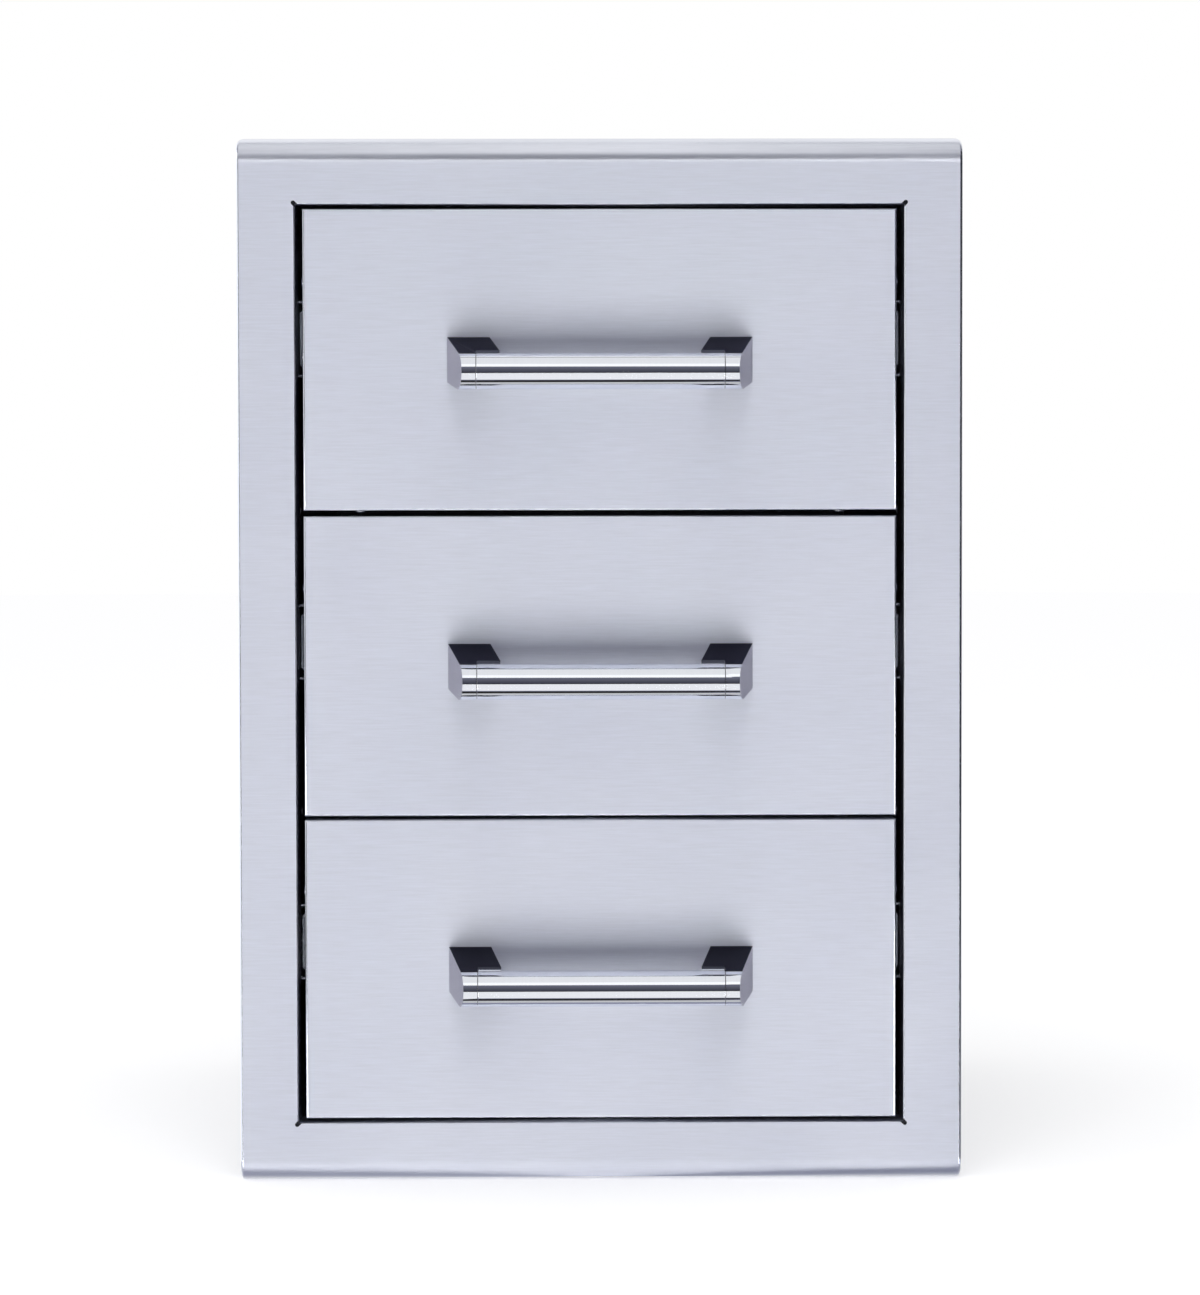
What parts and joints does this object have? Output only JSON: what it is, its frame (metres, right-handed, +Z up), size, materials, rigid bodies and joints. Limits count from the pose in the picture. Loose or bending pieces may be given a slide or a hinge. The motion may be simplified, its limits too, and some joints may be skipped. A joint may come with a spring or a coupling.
{
  "type": "outdoor kitchen drawer unit",
  "caption": "Built-in stainless steel drawer unit for an outdoor kitchen island, with a rolled trim frame, stacked full-extension drawers and round bar handles.",
  "frame": {"origin": "middle of the trim frame's lower rear lip, on the plane where the trim meets the island's face", "axes": "+X to the right, +Y into the island, +Z up; the drawers open towards -Y"},
  "size_m": [0.432, 0.564, 0.6225],
  "materials": {
    "brushed_trim": "stainless, brushed along X",
    "brushed_front": "stainless, brushed along X",
    "case_sheet": "stainless, cold rolled",
    "drawer_sheet": "stainless, cold rolled",
    "handle_bar": "stainless tube, polished along its length",
    "handle_post": "cast stainless, satin",
    "slide_rail": "stainless, formed strip",
    "ball_cage": "formed strip with bearing balls"
  },
  "bodies": {
    "case": {"front_frame": "brushed_trim", "case_left_side": "case_sheet", "case_right_side": "case_sheet", "case_top": "case_sheet", "case_bottom": "case_sheet", "case_back": "case_sheet", "upper_outer_rail_left": "slide_rail", "upper_outer_rail_right": "slide_rail", "middle_outer_rail_left": "slide_rail", "middle_outer_rail_right": "slide_rail", "lower_outer_rail_left": "slide_rail", "lower_outer_rail_right": "slide_rail"},
    "upper_drawer": {"upper_drawer_front": "brushed_front", "upper_drawer_liner": "drawer_sheet", "upper_drawer_tub": "drawer_sheet", "upper_drawer_back": "drawer_sheet", "upper_handle_bar": "handle_bar", "upper_handle_post_left": "handle_post", "upper_handle_post_right": "handle_post", "upper_inner_rail_left": "slide_rail", "upper_inner_rail_right": "slide_rail"},
    "upper_middle_rails": {"upper_middle_rail_left": "slide_rail", "upper_middle_rail_right": "slide_rail"},
    "upper_outer_cages": {"upper_outer_cage_left": "ball_cage", "upper_outer_cage_right": "ball_cage"},
    "upper_inner_cages": {"upper_inner_cage_left": "ball_cage", "upper_inner_cage_right": "ball_cage"},
    "middle_drawer": {"middle_drawer_front": "brushed_front", "middle_drawer_liner": "drawer_sheet", "middle_drawer_tub": "drawer_sheet", "middle_drawer_back": "drawer_sheet", "middle_handle_bar": "handle_bar", "middle_handle_post_left": "handle_post", "middle_handle_post_right": "handle_post", "middle_inner_rail_left": "slide_rail", "middle_inner_rail_right": "slide_rail"},
    "middle_middle_rails": {"middle_middle_rail_left": "slide_rail", "middle_middle_rail_right": "slide_rail"},
    "middle_outer_cages": {"middle_outer_cage_left": "ball_cage", "middle_outer_cage_right": "ball_cage"},
    "middle_inner_cages": {"middle_inner_cage_left": "ball_cage", "middle_inner_cage_right": "ball_cage"},
    "lower_drawer": {"lower_drawer_front": "brushed_front", "lower_drawer_liner": "drawer_sheet", "lower_drawer_tub": "drawer_sheet", "lower_drawer_back": "drawer_sheet", "lower_handle_bar": "handle_bar", "lower_handle_post_left": "handle_post", "lower_handle_post_right": "handle_post", "lower_inner_rail_left": "slide_rail", "lower_inner_rail_right": "slide_rail"},
    "lower_middle_rails": {"lower_middle_rail_left": "slide_rail", "lower_middle_rail_right": "slide_rail"},
    "lower_outer_cages": {"lower_outer_cage_left": "ball_cage", "lower_outer_cage_right": "ball_cage"},
    "lower_inner_cages": {"lower_inner_cage_left": "ball_cage", "lower_inner_cage_right": "ball_cage"}
  },
  "joints": [
    {"name": "upper_drawer_slide", "type": "slide", "parent": "case", "child": "upper_drawer", "axis": [0, -1, 0], "range_m": [0, 0.44]},
    {"name": "upper_middle_rails_slide", "type": "slide", "parent": "case", "child": "upper_middle_rails", "axis": [0, -1, 0], "range_m": [0, 0.22]},
    {"name": "upper_outer_cages_slide", "type": "slide", "parent": "case", "child": "upper_outer_cages", "axis": [0, -1, 0], "range_m": [0, 0.11]},
    {"name": "upper_inner_cages_slide", "type": "slide", "parent": "case", "child": "upper_inner_cages", "axis": [0, -1, 0], "range_m": [0, 0.33]},
    {"name": "middle_drawer_slide", "type": "slide", "parent": "case", "child": "middle_drawer", "axis": [0, -1, 0], "range_m": [0, 0.44]},
    {"name": "middle_middle_rails_slide", "type": "slide", "parent": "case", "child": "middle_middle_rails", "axis": [0, -1, 0], "range_m": [0, 0.22]},
    {"name": "middle_outer_cages_slide", "type": "slide", "parent": "case", "child": "middle_outer_cages", "axis": [0, -1, 0], "range_m": [0, 0.11]},
    {"name": "middle_inner_cages_slide", "type": "slide", "parent": "case", "child": "middle_inner_cages", "axis": [0, -1, 0], "range_m": [0, 0.33]},
    {"name": "lower_drawer_slide", "type": "slide", "parent": "case", "child": "lower_drawer", "axis": [0, -1, 0], "range_m": [0, 0.44]},
    {"name": "lower_middle_rails_slide", "type": "slide", "parent": "case", "child": "lower_middle_rails", "axis": [0, -1, 0], "range_m": [0, 0.22]},
    {"name": "lower_outer_cages_slide", "type": "slide", "parent": "case", "child": "lower_outer_cages", "axis": [0, -1, 0], "range_m": [0, 0.11]},
    {"name": "lower_inner_cages_slide", "type": "slide", "parent": "case", "child": "lower_inner_cages", "axis": [0, -1, 0], "range_m": [0, 0.33]}
  ],
  "couplings": [
    {"joint": "upper_middle_rails_slide", "follows": "upper_drawer_slide", "ratio": 0.5},
    {"joint": "upper_outer_cages_slide", "follows": "upper_drawer_slide", "ratio": 0.25},
    {"joint": "upper_inner_cages_slide", "follows": "upper_drawer_slide", "ratio": 0.75},
    {"joint": "middle_middle_rails_slide", "follows": "middle_drawer_slide", "ratio": 0.5},
    {"joint": "middle_outer_cages_slide", "follows": "middle_drawer_slide", "ratio": 0.25},
    {"joint": "middle_inner_cages_slide", "follows": "middle_drawer_slide", "ratio": 0.75},
    {"joint": "lower_middle_rails_slide", "follows": "lower_drawer_slide", "ratio": 0.5},
    {"joint": "lower_outer_cages_slide", "follows": "lower_drawer_slide", "ratio": 0.25},
    {"joint": "lower_inner_cages_slide", "follows": "lower_drawer_slide", "ratio": 0.75}
  ]
}
